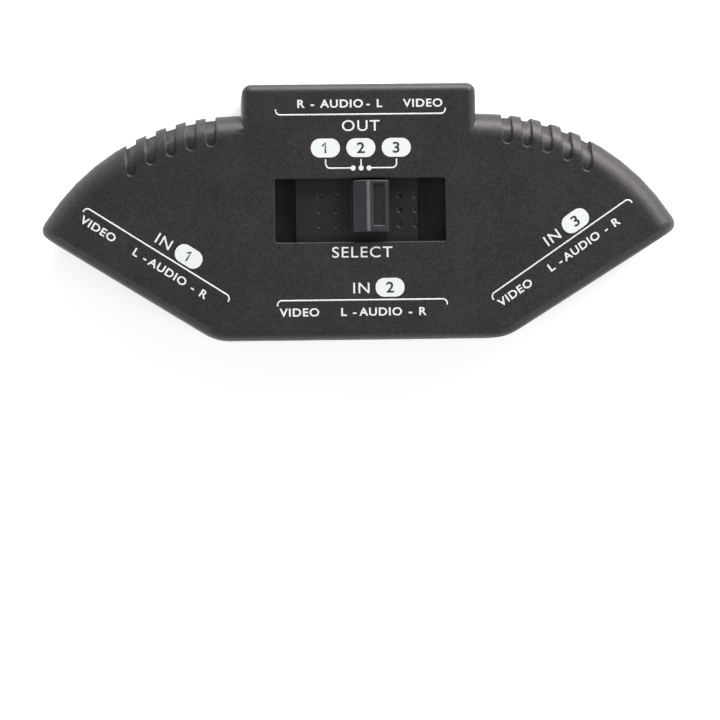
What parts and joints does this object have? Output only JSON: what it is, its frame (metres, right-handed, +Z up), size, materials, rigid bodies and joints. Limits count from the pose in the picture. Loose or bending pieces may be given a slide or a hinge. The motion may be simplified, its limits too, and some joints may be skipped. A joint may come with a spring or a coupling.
{
  "type": "av switch box",
  "caption": "Fan-shaped black plastic selector box: a slide switch in the top sends one of the phono jack sets in its front faces to the set in its rear tab.",
  "frame": {"origin": "under the middle of the case, on the surface it stands on", "axes": "+Z up through the top face, +Y to the rear tab with the output jacks, +X to the right seen from the front"},
  "size_m": [0.1552, 0.0624, 0.0305],
  "materials": {
    "case_plastic": "fine moulded texture, black",
    "selector_plastic": "smooth satin black",
    "block_plastic": "smooth satin black",
    "screw_steel": "zinc plated",
    "board_laminate": "paper laminate under black lacquer",
    "tinned_copper": "tinned",
    "spring_steel": "bright rolled strip",
    "spring_bronze": "rolled strip",
    "plated_brass": "bright nickel plate",
    "contact_brass": "bright",
    "yellow_plastic": "moulded",
    "white_plastic": "moulded",
    "red_plastic": "moulded"
  },
  "bodies": {
    "case": {"upper_shell": "case_plastic", "lower_shell": "case_plastic", "case_screws": "screw_steel", "circuit_board": "board_laminate", "contact_pads": "tinned_copper", "detent_spring": "spring_steel", "input_1_housing": "block_plastic", "input_2_housing": "block_plastic", "input_3_housing": "block_plastic", "output_housing": "block_plastic", "video_sleeves": "plated_brass", "left_sleeves": "plated_brass", "right_sleeves": "plated_brass", "input_1_video_insulator": "yellow_plastic", "input_1_left_insulator": "white_plastic", "input_1_right_insulator": "red_plastic", "input_2_video_insulator": "yellow_plastic", "input_2_left_insulator": "white_plastic", "input_2_right_insulator": "red_plastic", "input_3_video_insulator": "yellow_plastic", "input_3_left_insulator": "white_plastic", "input_3_right_insulator": "red_plastic", "output_video_insulator": "yellow_plastic", "output_left_insulator": "white_plastic", "output_right_insulator": "red_plastic", "input_1_video_contact": "contact_brass", "input_1_left_contact": "contact_brass", "input_1_right_contact": "contact_brass", "input_2_video_contact": "contact_brass", "input_2_left_contact": "contact_brass", "input_2_right_contact": "contact_brass", "input_3_video_contact": "contact_brass", "input_3_left_contact": "contact_brass", "input_3_right_contact": "contact_brass", "output_video_contact": "contact_brass", "output_left_contact": "contact_brass", "output_right_contact": "contact_brass"},
    "selector": {"selector_slider": "selector_plastic", "video_wiper": "spring_bronze", "left_wiper": "spring_bronze", "right_wiper": "spring_bronze"}
  },
  "joints": [
    {"name": "selector_slide", "type": "slide", "parent": "case", "child": "selector", "axis": [1, 0, 0], "range_m": [-0.0046, 0.0046], "deforming": ["detent_spring"]}
  ]
}
